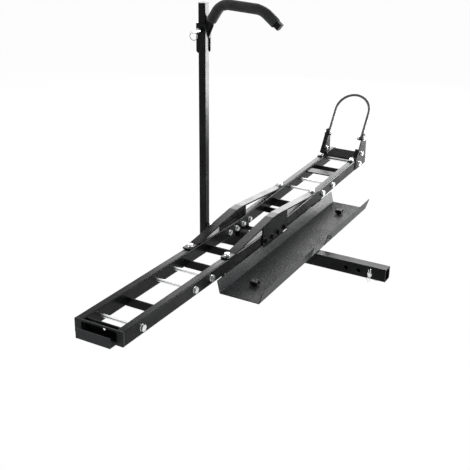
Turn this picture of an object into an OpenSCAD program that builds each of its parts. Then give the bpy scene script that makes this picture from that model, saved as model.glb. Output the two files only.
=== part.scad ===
// Hitch motorcycle carrier: a two-piece wheel track on a 50 mm hitch bar, with a loading
// ramp stowed beside it, a wheel chock with a hoop, and a post with a padded arm that
// slides on it and holds the motorcycle down.
// +X runs along the track to the chock, -Y points at the vehicle and +Z is up.
// The origin is on the hitch bar's centre line, in its middle pin hole.

/* [Track] */
// Length of both track halves together
track_len = 1950; // [1700:10:2200]
// Width over both rails
track_w = 180; // [160:1:230]
// Height of the rail tube
tube_h = 50; // [46:1:60]
// Width of the rail tube
tube_b = 28; // [24:1:32]
// Wall of the rail tube
tube_wall = 2.5; // [2:0.1:3.5]
// Outside corner radius of the rail tube
tube_r = 4; // [4:0.5:6]
// How far each outer end stands above the joint
end_rise = 30; // [0:1:45]
// Gap between the two halves at the joint, at the bottom of the tubes
joint_gap = 6; // [4:0.5:10]
// Thickness of the cross plates and the end plate
plate_t = 5; // [3:0.5:8]
// Height of the cross plates
cross_h = 30; // [20:1:40]

/* [Cross rods and bolts] */
// Diameter of the cross rods
rod_d = 12; // [10:0.5:14]
// Diameter of the structural bolts
bolt_d = 10; // [8:0.5:12]
// Clearance around a bolt or rod in its hole, on the radius
bolt_clear = 0.25; // [0.1:0.05:0.5]
// Distance of the middle rods from the joint
rod_in = 470; // [430:1:500]
// Distance of the next rods from the joint
rod_mid = 578; // [540:1:620]
// Distance of the outermost rods from the ends of the track
rod_end = 91; // [80:1:110]

/* [Joint] */
// Half length of the gusset plates
gusset_half = 104; // [96:1:130]
// Thickness of the gusset plates
gusset_t = 5; // [4:0.5:8]
// Distance of the inner gusset bolts from the joint
gusset_b1 = 26; // [20:1:34]
// Distance of the outer gusset bolts from the joint
gusset_b2 = 80; // [60:1:86]
// Thickness of the truss straps
strap_t = 6; // [4:0.5:8]
// Height of the strap's crown over the bottom of the rails
strap_peak = 100; // [88:1:120]
// Half length of the flat crown
strap_crown = 24; // [10:1:40]
// Distance of the near strap bolts from the joint
strap_near = 345; // [320:1:380]
// Distance of the far strap bolts from the joint
strap_far = 390; // [350:1:410]

/* [Hitch bar] */
// Outside size of the square hitch bar
bar_w = 50; // [40:0.5:50]
// Wall of the hitch bar
bar_wall = 4; // [3:0.5:5]
// Distance from the track's side face to the free end of the bar
bar_reach = 450; // [420:5:520]
// Distance of the bar from the track's joint
station = 45; // [38:1:60]
// Height from the top of the bar to the bottom of the rails at the joint
bar_drop = 33; // [28:1:45]
// Diameter of the pin holes
pin_hole_d = 16.5; // [16.2:0.1:18]
// Pitch of the pin holes
pin_pitch = 50; // [40:1:60]
// Distance from the free end of the bar to the first pin hole
pin_end = 55; // [45:1:65]

/* [Hitch pin] */
// Diameter of the hitch pin
pin_d = 15.9; // [14:0.1:16]
// Diameter of the clip wire
clip_d = 3.2; // [2.5:0.1:3.6]

/* [Post] */
// Length of the post
post_len = 940; // [800:5:1000]
// Outside size of the square post
post_w = 30; // [25:0.5:32]
// Wall of the post
post_wall = 2.5; // [2:0.1:4]
// Distance from the track's side face to the post
post_off = 146; // [130:1:180]
// Length of the post's foot on the bar
foot_len = 86; // [76:1:100]

/* [Slider and arm] */
// Height of the slider sleeve
slider_h = 110; // [90:1:140]
// Distance from the top of the post to the top of the slider
slider_down = 70; // [60:1:120]
// Wall of the slider
slider_wall = 5; // [4:0.5:6]
// Running clearance between the slider and the post
slider_clear = 0.4; // [0.2:0.05:0.8]
// Size of the square arm tube
arm_w = 25; // [20:0.5:26]
// Wall of the arm tube
arm_wall = 2; // [1.5:0.1:3]
// Straight length of the arm's first leg
arm_rise = 66; // [56:1:80]
// Straight length of the arm's level stretch
arm_level = 113; // [90:1:140]
// Straight length of the arm's end leg
arm_tip = 68; // [56:1:100]
// Radius of the arm's lower bend at the centre line
arm_bend = 60; // [50:1:70]
// Radius of the arm's upper bend at the centre line
arm_bend_out = 70; // [50:1:80]
// Outside diameter of the foam grip
foam_d = 41; // [40:0.5:50]
// Bare length of the arm after the foam
foam_bare = 20; // [14:1:30]
// Diameter of the clamp screw
screw_d = 10; // [8:0.5:12]
// Length of the clamp screw outside the slider
screw_out = 62; // [45:1:90]

/* [Ramp] */
// Length of the stowed loading ramp
ramp_len = 1000; // [900:10:1100]
// Width over the ramp's two edges
ramp_w = 180; // [160:1:220]
// Sheet thickness of the ramp
ramp_t = 3; // [2:0.5:5]
// Height of the ramp's edge on the track's side
ramp_edge = 46; // [30:1:50]
// Height of the ramp's outer edge
ramp_lip = 46; // [30:1:60]
// Length of the cut-out in the outer edge over the hitch bar
ramp_notch = 130; // [80:1:200]
// Shift of the ramp along the track from the bar
ramp_shift = 13; // [0:1:30]
// Distance of each star knob from the end of the ramp
knob_in = 114; // [70:1:160]
// Diameter over the knob's lobes
knob_d = 38; // [32:1:50]

/* [Chock] */
// Distance from the end of the track to the front foot of the chock
chock_in = 125; // [115:1:145]
// Height of the chock brackets over the rails
chock_h = 104; // [80:1:130]
// Sideways lean of the bracket's front edge over its height
chock_lean = 70; // [50:1:76]
// Thickness of the chock plates
chock_t = 4; // [3:0.5:6]
// Diameter of the hoop's bar
hoop_d = 12; // [10:0.5:13]
// Length of the hoop from its pivot to its crown
hoop_len = 215; // [180:5:260]
// Lean of the hoop from upright, in degrees
hoop_lean = 36; // [20:1:45]

/* [Hidden] */
$fn = 48;

black = [0.09, 0.09, 0.10];
zinc = [0.75, 0.76, 0.78];
charcoal = [0.16, 0.16, 0.17];
plastic = [0.05, 0.05, 0.055];

near = -1;
far = 1;
left = 1;
right = -1;

half_len = track_len / 2;
tilt = asin(end_rise / half_len);
side_y = track_w / 2;
inner_y = side_y - tube_b;
mid_y = side_y - tube_b / 2;
hole_d = bolt_d + 2 * bolt_clear;
rod_hole_d = rod_d + 2 * bolt_clear;
bolt_z = tube_h * 0.45;
near_rods = [rod_in + 7, rod_mid + 6, half_len - rod_end];
far_rods = [rod_in - 6, rod_mid - 6, half_len - rod_end - 4];
near_plates = [247, 403, half_len - 222];
far_plates = [[218, 24], [292, 35]];

bar_top = -bar_drop;
bar_mid = bar_top - bar_w / 2;
bar_free = -side_y - bar_reach;
pin_y = bar_free + pin_end;
origin_y = pin_y + pin_pitch;
post_y = side_y + post_off + post_w / 2;
post_bottom = bar_top - bar_w;
bar_fixed = post_y - post_w / 2;

ramp_top_y = -side_y - 2;
ramp_floor = bar_top + ramp_t;
edge_lean = 11;
lip_lean = 15;
ramp_u = station + ramp_shift;
knob_off = ramp_len / 2 - knob_in;
arm_t = 5;
knob_y = ramp_top_y - edge_lean - (ramp_w - edge_lean - lip_lean) / 2;
stud_r = 4;
run_clear = 0.06;

slider_top = post_bottom + post_len - slider_down;
slider_bot = slider_top - slider_h;
sleeve_in = post_w + 2 * slider_clear;
sleeve_out = sleeve_in + 2 * slider_wall;
face_y = post_y - sleeve_in / 2 - slider_wall;
arm_z = slider_top - 9;
screw_z = slider_top - 24;
arm_a1 = 57;
arm_a2 = -3;
arm_a3 = -38;

chock_u = half_len - chock_in;
pivot_u = chock_u + chock_lean + 5;
pivot_z = tube_h + chock_h - 20;
ear_r = 11;
ear_w = hoop_d + 2;
hoop_gap = 0.3;
hoop_y = side_y - hoop_gap - ear_w / 2;

// A point of the near half, given along the half and over its bottom, seen from the side
function near_at(u, z) = [-u * cos(tilt) + z * sin(tilt), u * sin(tilt) + z * cos(tilt)];
// The same point of the far half
function far_at(u, z) = [u * cos(tilt) - z * sin(tilt), u * sin(tilt) + z * cos(tilt)];
function between(a, b, x) = a[1] + (b[1] - a[1]) * (x - a[0]) / (b[0] - a[0]);

// Moves what is built from the track's joint to the part's origin
module place() { translate([-station, -origin_y, -bar_mid]) children(); }
// Tilts one half of the track, which is built level, with its outer end at half_len
module on_half(half) { rotate([0, -half * tilt, 0]) children(); }
module along_x(len) { rotate([90, 0, 90]) linear_extrude(len) children(); }
// Extrudes a side view, drawn in X and Z, from y to y + wide
module side_view(y, wide) { translate([0, y + wide, 0]) rotate([90, 0, 0]) linear_extrude(wide) children(); }
module y_rod(d, len) { rotate([-90, 0, 0]) cylinder(d = d, h = len); }
module hex(af, h) { cylinder(d = af / cos(30), h = h, $fn = 6); }

module round_rect(w, h, r) {
    square([w - 2 * r, h], center = true);
    square([w, h - 2 * r], center = true);
    for (sx = [-1, 1], sy = [-1, 1]) translate([sx * (w / 2 - r), sy * (h / 2 - r)]) circle(r);
}
module tube_shape(w, h, wall, r) {
    difference() {
        round_rect(w, h, r);
        round_rect(w - 2 * wall, h - 2 * wall, r - wall * 0.8);
    }
}
// One leg of a folded sheet, from a to b
module fold_leg(a, b, t) {
    d = b - a;
    translate(a) rotate(atan2(d[1], d[0])) translate([0, -t / 2]) square([norm(d), t]);
}
module folded(points, t) {
    for (i = [0:len(points) - 2]) fold_leg(points[i], points[i + 1], t);
    for (i = [1:len(points) - 2]) translate(points[i]) circle(d = t);
}
// A bolt along +Y: its head under y = 0, its shank above
module bolt_y(d, grip, tail, washer = true) {
    rotate([-90, 0, 0]) {
        translate([0, 0, -d * 0.64 - (washer ? 2 : 0)]) hex(d * 1.7, d * 0.64);
        if (washer) translate([0, 0, -2]) cylinder(d = d * 2, h = 2);
        translate([0, 0, -0.01]) cylinder(d = d, h = grip + tail + 0.01);
    }
}
// A nut on a bolt along +Y, with its washer at y = 0
module nut_y(d) {
    rotate([-90, 0, 0]) difference() {
        union() {
            cylinder(d = d * 2, h = 2);
            translate([0, 0, 2]) hex(d * 1.7, d * 0.8);
        }
        translate([0, 0, -1]) cylinder(d = d, h = d * 2);
    }
}

module rail(half, side) {
    rods = half == near ? near_rods : far_rods;
    strap_u = half == near ? strap_near : strap_far;
    first = joint_gap / 2;
    last = half == near ? half_len - plate_t : half_len;
    color(black) difference() {
        translate([half > 0 ? first : -last, side * mid_y, tube_h / 2])
            along_x(last - first) tube_shape(tube_b, tube_h, tube_wall, tube_r);
        for (u = rods) translate([half * u, side * mid_y - tube_b, tube_h / 2]) y_rod(rod_hole_d, 2 * tube_b);
        for (u = [gusset_b1, gusset_b2])
            translate([half * u, side * mid_y - tube_b, bolt_z]) y_rod(hole_d, 2 * tube_b);
        translate([half * strap_u, side * mid_y, -1]) cylinder(d = hole_d, h = tube_h + 2);
        if (half == far) chock_holes(side);
    }
}
module chock_holes(side) {
    translate([chock_bolt_u, side * mid_y, -1]) cylinder(d = hole_d, h = tube_h + 2);
}
chock_bolt_u = chock_u - 22;

module near_left_rail() { place() on_half(near) rail(near, left); }
module near_right_rail() { place() on_half(near) rail(near, right); }
module far_left_rail() { place() on_half(far) rail(far, left); }
module far_right_rail() { place() on_half(far) rail(far, right); }

slot_w = 132;
slot_h = 38;
lip_w = 126;
lip_out = 30;
lip_t = 4;
// End of the near half: a plate with a slot, and the lip that the ramp hooks on
module ramp_end_plate() {
    place() on_half(near) color(black) translate([-half_len, 0, 0]) {
        difference() {
            translate([0, 0, tube_h / 2]) along_x(plate_t) round_rect(track_w, tube_h, 3);
            translate([-1, 0, tube_h / 2]) along_x(plate_t + 2) round_rect(slot_w, slot_h, 7);
        }
        translate([0, 0, 0]) side_view(-lip_w / 2, lip_w) {
            translate([-lip_out, 2]) square([lip_out, lip_t]);
            translate([-lip_out, 2]) square([lip_t, 33]);
        }
    }
}
module cross_plate(half, u, h) {
    translate([half * u - plate_t / 2, -inner_y, 0]) cube([plate_t, 2 * inner_y, h]);
}
back_u = half_len - 26;
module near_cross_plates() {
    place() on_half(near) color(black) {
        for (u = near_plates) cross_plate(near, u, cross_h);
        difference() {
            cross_plate(near, back_u, tube_h - 4);
            translate([-back_u - plate_t, 0, tube_h / 2]) rotate([0, 90, 0]) cylinder(d = 12, h = 2 * plate_t);
        }
    }
}
strip_u = 630;
strip_w = 48;
strip_z = 37;
module far_cross_plates() {
    place() on_half(far) color(black) {
        for (p = far_plates) cross_plate(far, p[0], p[1]);
        translate([strip_u, -inner_y, strip_z]) cube([strip_w, 2 * inner_y, plate_t]);
        cross_plate(far, half_len - 220, cross_h);
    }
}
module joint_tie() {
    place() on_half(far) color(black) translate([26, -inner_y, 0]) cube([26, 2 * inner_y, plate_t]);
}

// The plain cross rods, with their heads on the right side of the track
module each_rod() {
    for (u = near_rods) on_half(near) translate([-u, 0, tube_h / 2]) children();
    for (i = [0:1]) on_half(far) translate([far_rods[i], 0, tube_h / 2]) children();
}
// The last rod, which also clamps the chock brackets to the rails
module chock_rod() { on_half(far) translate([far_rods[2], 0, tube_h / 2]) children(); }
rod_tail = 16;
module cross_rods() {
    place() color(zinc) {
        each_rod() translate([0, -side_y, 0]) bolt_y(rod_d, track_w, rod_tail);
        chock_rod() translate([0, -side_y - chock_t, 0]) bolt_y(rod_d, track_w + 2 * chock_t, rod_tail);
    }
}
module cross_nuts() {
    place() color(zinc) {
        each_rod() translate([0, side_y, 0]) nut_y(rod_d);
        chock_rod() translate([0, side_y + chock_t, 0]) nut_y(rod_d);
    }
}

strap_bottom = [near_at(strap_near + 22, tube_h), near_at(strap_near - 22, tube_h),
                [-strap_crown, strap_peak - strap_t], [strap_crown, strap_peak - strap_t],
                far_at(strap_far - 22, tube_h), far_at(strap_far + 22, tube_h)];
strap_top = [for (p = strap_bottom) p + [0, strap_t]];
gusset_z = 6;
module gusset_holes() {
    for (half = [near, far], u = [gusset_b1, gusset_b2])
        on_half(half) translate([half * u, -track_w, bolt_z]) y_rod(hole_d, 2 * track_w);
}
module gusset(side) {
    a = near_at(gusset_half, gusset_z);
    b = far_at(gusset_half, gusset_z);
    la = between(strap_bottom[1], strap_bottom[2], a[0]);
    lb = between(strap_bottom[4], strap_bottom[3], b[0]);
    color(black) difference() {
        side_view(side > 0 ? side_y : -side_y - gusset_t, gusset_t)
            polygon([a, [0, gusset_z], b, [b[0], lb], strap_bottom[3], strap_bottom[2], [a[0], la]]);
        gusset_holes();
    }
}
module left_gusset() { place() gusset(left); }
module right_gusset() { place() gusset(right); }

module each_gusset_bolt() {
    for (half = [near, far], u = [gusset_b1, gusset_b2])
        on_half(half) translate([half * u, 0, bolt_z]) {
            translate([0, -side_y - gusset_t, 0]) children();
            mirror([0, 1, 0]) translate([0, -side_y - gusset_t, 0]) children();
        }
}
module gusset_bolts() { place() color(black) each_gusset_bolt() bolt_y(bolt_d, gusset_t + tube_b, 12); }
module gusset_nuts() { place() color(zinc) each_gusset_bolt() translate([0, gusset_t + tube_b, 0]) nut_y(bolt_d); }

strap_w = tube_b + gusset_t;
module strap(side) {
    color(black) difference() {
        side_view(side > 0 ? inner_y : -inner_y - strap_w, strap_w)
            polygon(concat(strap_bottom, [for (i = [len(strap_top) - 1:-1:0]) strap_top[i]]));
        for (half = [near, far]) on_half(half)
            translate([half * (half == near ? strap_near : strap_far), side * mid_y, 0])
                cylinder(d = hole_d, h = 2 * tube_h);
    }
}
module left_strap() { place() strap(left); }
module right_strap() { place() strap(right); }
module each_strap_bolt(sides) {
    for (half = [near, far], side = sides) on_half(half)
        translate([half * (half == near ? strap_near : strap_far), side * mid_y, 0]) children();
}
module strap_bolts() {
    place() color(zinc) each_strap_bolt([left, right])
        translate([0, 0, tube_h + strap_t]) rotate([-90, 0, 0]) bolt_y(bolt_d, tube_h + strap_t, arm_t + 13);
}
module strap_nuts() {
    place() color(zinc) {
        each_strap_bolt([left]) rotate([-90, 0, 0]) nut_y(bolt_d);
        each_strap_bolt([right]) translate([0, 0, -arm_t]) rotate([-90, 0, 0]) nut_y(bolt_d);
    }
}

riser_len = 70;
riser_wall = 3;
module bar_risers() {
    u0 = station - riser_len / 2;
    u1 = station + riser_len / 2;
    z0 = u0 * tan(tilt);
    z1 = u1 * tan(tilt);
    place() color(black) for (side = [left, right]) difference() {
        side_view(side * mid_y - tube_b / 2, tube_b) polygon([[u0, bar_top], [u1, bar_top], [u1, z1], [u0, z0]]);
        translate([u0 - 1, side * mid_y - tube_b / 2 + riser_wall, bar_top + riser_wall])
            cube([riser_len + 2, tube_b - 2 * riser_wall, bar_drop - 2 * riser_wall]);
    }
}
module hitch_bar() {
    place() color(black) difference() {
        translate([station, bar_fixed, bar_mid]) rotate([90, 0, 0])
            linear_extrude(bar_fixed - bar_free) tube_shape(bar_w, bar_w, bar_wall, 6);
        for (i = [0:2]) translate([station - bar_w, pin_y + i * pin_pitch, bar_mid])
            rotate([0, 90, 0]) cylinder(d = pin_hole_d, h = 2 * bar_w);
        for (y = foot_bolts) translate([station, y, post_bottom - 1]) cylinder(d = hole_d, h = bar_w + 2);
    }
}

foot_t = 6;
foot_bolts = [bar_fixed - foot_len + 18, bar_fixed - 20];
module post() {
    place() color(black) {
        translate([station, post_y, post_bottom]) linear_extrude(post_len) tube_shape(post_w, post_w, post_wall, 3);
        difference() {
            translate([station - bar_w / 2 + 4, bar_fixed - foot_len, bar_top]) cube([bar_w - 8, foot_len, foot_t]);
            for (y = foot_bolts) translate([station, y, bar_top - 1]) cylinder(d = hole_d, h = foot_t + 2);
        }
    }
}
module post_cap() {
    top = post_bottom + post_len;
    inside = post_w - 2 * post_wall;
    place() color(plastic) translate([station, post_y, top]) {
        linear_extrude(3) round_rect(post_w, post_w, 3);
        translate([0, 0, -14]) linear_extrude(14) round_rect(inside, inside, 1);
    }
}
module each_foot_bolt() { for (y = foot_bolts) translate([station, y, 0]) children(); }
module post_bolts() {
    place() color(zinc) each_foot_bolt()
        translate([0, 0, bar_top + foot_t]) rotate([-90, 0, 0]) bolt_y(bolt_d, bar_w + foot_t, 13);
}
module post_nuts() { place() color(zinc) each_foot_bolt() translate([0, 0, post_bottom]) rotate([-90, 0, 0]) nut_y(bolt_d); }

// Room between the right gusset and the cut-down part of the ramp's edge
gusset_room = 2;
module ramp() {
    mid = ramp_t / 2;
    floor_z = bar_top + mid;
    y0 = ramp_top_y - mid;
    y3 = ramp_top_y - ramp_w + mid;
    place() color(black) difference() {
        translate([ramp_u - ramp_len / 2, 0, 0]) along_x(ramp_len)
            folded([[y0, floor_z + ramp_edge], [y0 - edge_lean, floor_z],
                    [y3 + lip_lean, floor_z], [y3, floor_z + ramp_lip]], ramp_t);
        translate([station - ramp_notch / 2, y3 - 2 * ramp_t, floor_z + ramp_t / 2 + 1])
            cube([ramp_notch, lip_lean + 4 * ramp_t, 2 * ramp_lip]);
        translate([-gusset_half - gusset_room, ramp_top_y - edge_lean, gusset_z - gusset_room])
            cube([2 * (gusset_half + gusset_room), edge_lean + 1, ramp_edge]);
        for (s = [-1, 1]) translate([ramp_u + s * knob_off, knob_y, bar_top - 1]) cylinder(r = stud_r + 0.5, h = ramp_t + 2);
    }
}
arm_flat = 40;
nut_h = 7;
arm_pad = 17;
function under_rail(u) = abs(u) * tan(tilt);
// Stepped arm that carries the ramp: its flange is clamped under the right rail by a strap bolt,
// and its flat has a weld nut for the knob
module ramp_arm(half) {
    u = ramp_u + half * knob_off;
    strap_u = half * (half == near ? strap_near : strap_far);
    u0 = min(u - arm_flat / 2, strap_u - arm_pad);
    u1 = max(u + arm_flat / 2, strap_u + arm_pad);
    ua = u - arm_flat / 2;
    ub = u + arm_flat / 2;
    y_in = -inner_y + arm_t;
    y_out = ramp_top_y - ramp_w + lip_lean + 8;
    under = bar_top - arm_t;
    color(black) difference() {
        union() {
            translate([ua, y_out, under]) cube([arm_flat, y_in - y_out, arm_t]);
            side_view(y_in - arm_t, arm_t)
                polygon([[ua, under], [ub, under], [ub, under_rail(ub)], [ua, under_rail(ua)]]);
            side_view(-side_y + 2, side_y - 2 + y_in)
                polygon([[u0, under_rail(u0) - arm_t], [u1, under_rail(u1) - arm_t], [u1, under_rail(u1)], [u0, under_rail(u0)]]);
            translate([u, knob_y, under - nut_h]) hex(13, nut_h);
        }
        translate([u, knob_y, under - nut_h - 1]) cylinder(r = stud_r + run_clear, h = nut_h + arm_t + 2);
        on_half(half) translate([strap_u, -mid_y, -3 * arm_t]) cylinder(d = hole_d, h = 6 * arm_t);
    }
}
module ramp_arms() { place() { ramp_arm(near); ramp_arm(far); } }

eye_r = 10;
eye_wire = 5;
eye_h = 34;
eye_u = station + ramp_notch / 2 + 16;
// A place on the ramp's outer edge, h above its floor: Z runs up the edge and -Y points out of it
module on_ramp_edge(u, h) {
    translate([u, ramp_top_y - ramp_w + ramp_t / 2 + lip_lean * (1 - h / ramp_lip), bar_top + ramp_t / 2 + h])
        rotate([atan(lip_lean / ramp_lip), 0, 0]) children();
}
// Welded staple on the ramp's outer edge, beside the cut-out
module tie_eye() {
    place() color(black) on_ramp_edge(eye_u, eye_h) translate([0, -ramp_t / 2, 0])
        rotate_extrude(angle = 180, start = 180) translate([eye_r, 0]) circle(d = eye_wire);
}

module knob_shape() {
    difference() {
        union() {
            cylinder(r = knob_d * 0.33, h = 15);
            for (a = [45:90:315]) rotate(a) translate([knob_d / 2 - 7, 0, 0]) cylinder(r = 7, h = 14);
            translate([0, 0, -4]) cylinder(r = 9, h = 4.5);
        }
        translate([0, 0, -5]) cylinder(r = stud_r, h = 16);
    }
}
module knob_at(s) { translate([ramp_u + s * knob_off, knob_y, ramp_floor + 4.3]) children(); }
module near_knob() { place() color(plastic) knob_at(-1) knob_shape(); }
module far_knob() { place() color(plastic) knob_at(1) knob_shape(); }
stud_len = 11 + 4.3 + ramp_t + arm_t + nut_h + 8;
module stud_shape() { translate([0, 0, 11 - stud_len]) cylinder(r = stud_r, h = stud_len); }
module near_stud() { place() color(zinc) knob_at(-1) stud_shape(); }
module far_stud() { place() color(zinc) knob_at(1) stud_shape(); }

pin_tail = 15;
pin_bend = 16;
pin_leg = 42;
clip_x = -bar_w / 2 - 7.5;
clip_hole_r = clip_d / 2 + 0.08;
// Bent hitch pin, its cross hole for the clip on the near side of the bar
module hitch_pin() {
    place() color(zinc) translate([station, pin_y, bar_mid]) difference() {
        union() {
            translate([-bar_w / 2 - pin_tail, 0, 0]) rotate([0, 90, 0]) cylinder(d = pin_d, h = bar_w + pin_tail + 3);
            translate([bar_w / 2 + 3, 0, -pin_bend]) rotate([90, 0, 0])
                rotate_extrude(angle = 90) translate([pin_bend, 0]) circle(d = pin_d);
            translate([bar_w / 2 + 3 + pin_bend, 0, -pin_bend - pin_leg]) cylinder(d = pin_d, h = pin_leg);
        }
        translate([clip_x, 0, -pin_d]) cylinder(r = clip_hole_r, h = 2 * pin_d);
    }
}
// Centre line of a bent bar in the XY plane as [x, y, heading]: each step is a straight length,
// the turn to the left that follows it in degrees, and that bend's radius
function bent(steps, p, h, i = 0) = i == len(steps) ? [[p[0], p[1], h]] :
    let (len = steps[i][0], turn = steps[i][1], side = sign(turn), r = steps[i][2] * side,
         a = p + len * [cos(h), sin(h)], c = a + r * [-sin(h), cos(h)], n = ceil(abs(turn) / bend_step),
         arc = n < 2 ? [] : [for (k = [1:n - 1]) let (g = h + turn * k / n) [c[0] + r * sin(g), c[1] - r * cos(g), g]])
    concat([[p[0], p[1], h]], len > 0 && side != 0 ? [[a[0], a[1], h]] : [], arc,
           bent(steps, c + r * [sin(h + turn), -cos(h + turn)], h + turn, i + 1));
bend_step = 6;
function round_ring(d, n) = [for (i = [0:n - 1]) d / 2 * [cos(360 * i / n), sin(360 * i / n)]];
function square_ring(w, r) = [for (c = [0:3], k = [0:3])
    (w / 2 - r) * [sign(cos(90 * c + 45)), sign(sin(90 * c + 45))] + r * [cos(90 * c + 30 * k), sin(90 * c + 30 * k)]];
function ring_at(p, ring, slant) = [for (q = ring)
    [p[0] + q[0] * (slant * cos(p[2]) - sin(p[2])), p[1] + q[0] * (cos(p[2]) + slant * sin(p[2])), q[1]]];
function ring_points(line, ring, slant) = [for (i = [0:len(line) - 1]) each ring_at(line[i], ring, i == 0 ? slant : 0)];
function ring_sides(m, n, from) = [for (i = [0:m - 2], j = [0:n - 1])
    let (k = (j + 1) % n, a = from + i * n, b = a + n) [a + j, b + j, b + k, a + k]];
function flipped(faces) = [for (f = faces) [for (i = [len(f) - 1:-1:0]) f[i]]];
function end_face(n, a, b) = [for (j = [0:n - 1]) let (k = (j + 1) % n) [a + j, a + k, b + k, b + j]];
// A solid bar along the line
module bent_bar(line, ring) {
    m = len(line);
    n = len(ring);
    polyhedron(ring_points(line, ring, 0), concat([[for (j = [0:n - 1]) j]], ring_sides(m, n, 0),
        [[for (j = [n - 1:-1:0]) (m - 1) * n + j]]));
}
// A tube along the line, its first end cut at a slant
module bent_tube(line, outer, inner, slant = 0) {
    m = len(line);
    n = len(outer);
    polyhedron(concat(ring_points(line, outer, slant), ring_points(line, inner, slant)),
        concat(ring_sides(m, n, 0), flipped(ring_sides(m, n, m * n)), end_face(n, 0, m * n),
               flipped(end_face(n, (m - 1) * n, (2 * m - 1) * n))));
}
clip_grip = 40;
clip_turn = 25;
clip_eye = 6;
clip_lead = 6;
clip_hug = pin_d / 2 + clip_d / 2 + 0.12;
clip_h1 = 90 + clip_turn;
clip_h2 = 90 - clip_grip;
clip_slant = (2 * clip_eye - clip_hug * cos(clip_grip) - clip_lead * (1 - cos(clip_turn))
              + clip_lead * (sin(clip_h1) - sin(clip_h2))) / sin(clip_turn);
clip_low = clip_hug * sin(clip_grip) + clip_slant * cos(clip_turn)
           + clip_lead * (sin(clip_turn) - cos(clip_h1) + cos(clip_h2));
clip_top = 20;
clip_steps = [[clip_low + clip_top, 180, clip_eye], [0, clip_turn, clip_lead], [clip_slant, clip_h2 - clip_h1, clip_lead],
              [0, 2 * clip_grip, clip_hug], [0, -55, clip_lead], [6, 0, 0]];
// Hairpin clip pushed up through the pin: one straight leg, an eye below, and a leg that hugs the pin
module hitch_clip() {
    place() color(zinc) translate([station + clip_x, pin_y, bar_mid + clip_top])
        rotate([90, 0, 90]) bent_bar(bent(clip_steps, [0, 0], -90), round_ring(clip_d, 12));
}

// Sleeve that slides on the post: open towards the vehicle below, closed above
slider_chamfer = 9;
module slider() {
    boss = 7;
    place() color(black) translate([station, post_y, slider_bot]) difference() {
        union() {
            difference() {
                translate([-sleeve_out / 2, -sleeve_in / 2 - slider_wall, 0]) cube([sleeve_out, sleeve_in + 2 * slider_wall, slider_h]);
                translate([-sleeve_in / 2, -sleeve_in / 2, -1]) cube([sleeve_in, sleeve_in, slider_h + 2]);
                translate([-sleeve_in / 2, -sleeve_in, -1]) cube([sleeve_in, sleeve_in, slider_h / 2 + 1]);
            }
            translate([-sleeve_out / 2 - boss, 0, screw_z - slider_bot]) rotate([0, 90, 0]) hex(17, boss + 1);
        }
        translate([-sleeve_out, 0, screw_z - slider_bot]) rotate([0, 90, 0]) cylinder(d = screw_d + 2 * run_clear, h = sleeve_out);
        for (y = [-1, 1]) translate([-sleeve_out, y * sleeve_out / 2, 0]) rotate([45, 0, 0])
            translate([0, -slider_chamfer / 2, -slider_chamfer / 2]) cube([2 * sleeve_out, slider_chamfer, slider_chamfer]);
    }
}
// Clamp screw, with a cross hole near its outer end for the pull ring
ring_hole_d = 5;
ring_wire = 3;
screw_tip = post_w / 2 + 0.3;
screw_end = sleeve_out / 2 + screw_out;
ring_x = -screw_end + 10;
module clamp_screw() {
    place() color(zinc) translate([station, post_y, screw_z]) difference() {
        union() {
            translate([-screw_end, 0, 0]) rotate([0, 90, 0]) cylinder(d = screw_d, h = screw_end - screw_tip);
            translate([-sleeve_out / 2 - 22, 0, 0]) rotate([0, 90, 0]) cylinder(d = screw_d + 6, h = 8);
        }
        translate([ring_x, screw_d, 0]) rotate([90, 0, 0]) cylinder(d = ring_hole_d, h = 2 * screw_d);
    }
}
module pull_ring() {
    r = 15;
    bow = r - sqrt(r * r - screw_d * screw_d / 4);
    lift = bow + 0.1 - (ring_hole_d - ring_wire) / 2;
    place() color(zinc) translate([station + ring_x, post_y, screw_z - r + lift])
        rotate([90, 0, 0]) rotate([0, 90, 0]) rotate_extrude() translate([r, 0]) circle(d = ring_wire);
}

// The arm is drawn in the plane of the post, with reach to the right and height up
arm_start = [0, arm_z];
function turn(p, a, b, r) = p + r * [sin(a) - sin(b), cos(b) - cos(a)];
arm_p1 = arm_start + arm_rise * [cos(arm_a1), sin(arm_a1)];
arm_p2 = turn(arm_p1, arm_a1, arm_a2, arm_bend);
arm_p3 = arm_p2 + arm_level * [cos(arm_a2), sin(arm_a2)];
arm_p4 = turn(arm_p3, arm_a2, arm_a3, arm_bend_out);
arm_p5 = arm_p4 + arm_tip * [cos(arm_a3), sin(arm_a3)];
// Turns the drawing plane to run from the slider's face towards the vehicle
module arm_plane() { translate([station, face_y, 0]) rotate([0, 0, -90]) rotate([90, 0, 0]) children(); }
// Centre line of the arm, cut back by first at the slider and by last at the tip
function arm_line(first, last) = bent([[arm_rise - first, arm_a2 - arm_a1, arm_bend],
    [arm_level, arm_a3 - arm_a2, arm_bend_out], [arm_tip - last, 0, 0]],
    arm_start + first * [cos(arm_a1), sin(arm_a1)], arm_a1);
arm_corner = 3;
module arm() {
    inside = arm_w - 2 * arm_wall;
    place() color(black) arm_plane()
        bent_tube(arm_line(0, 0), square_ring(arm_w, arm_corner), square_ring(inside, 1), tan(arm_a1));
}
gusset_w = 5;
rib_drop = 49;
rib_reach = 19;
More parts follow.
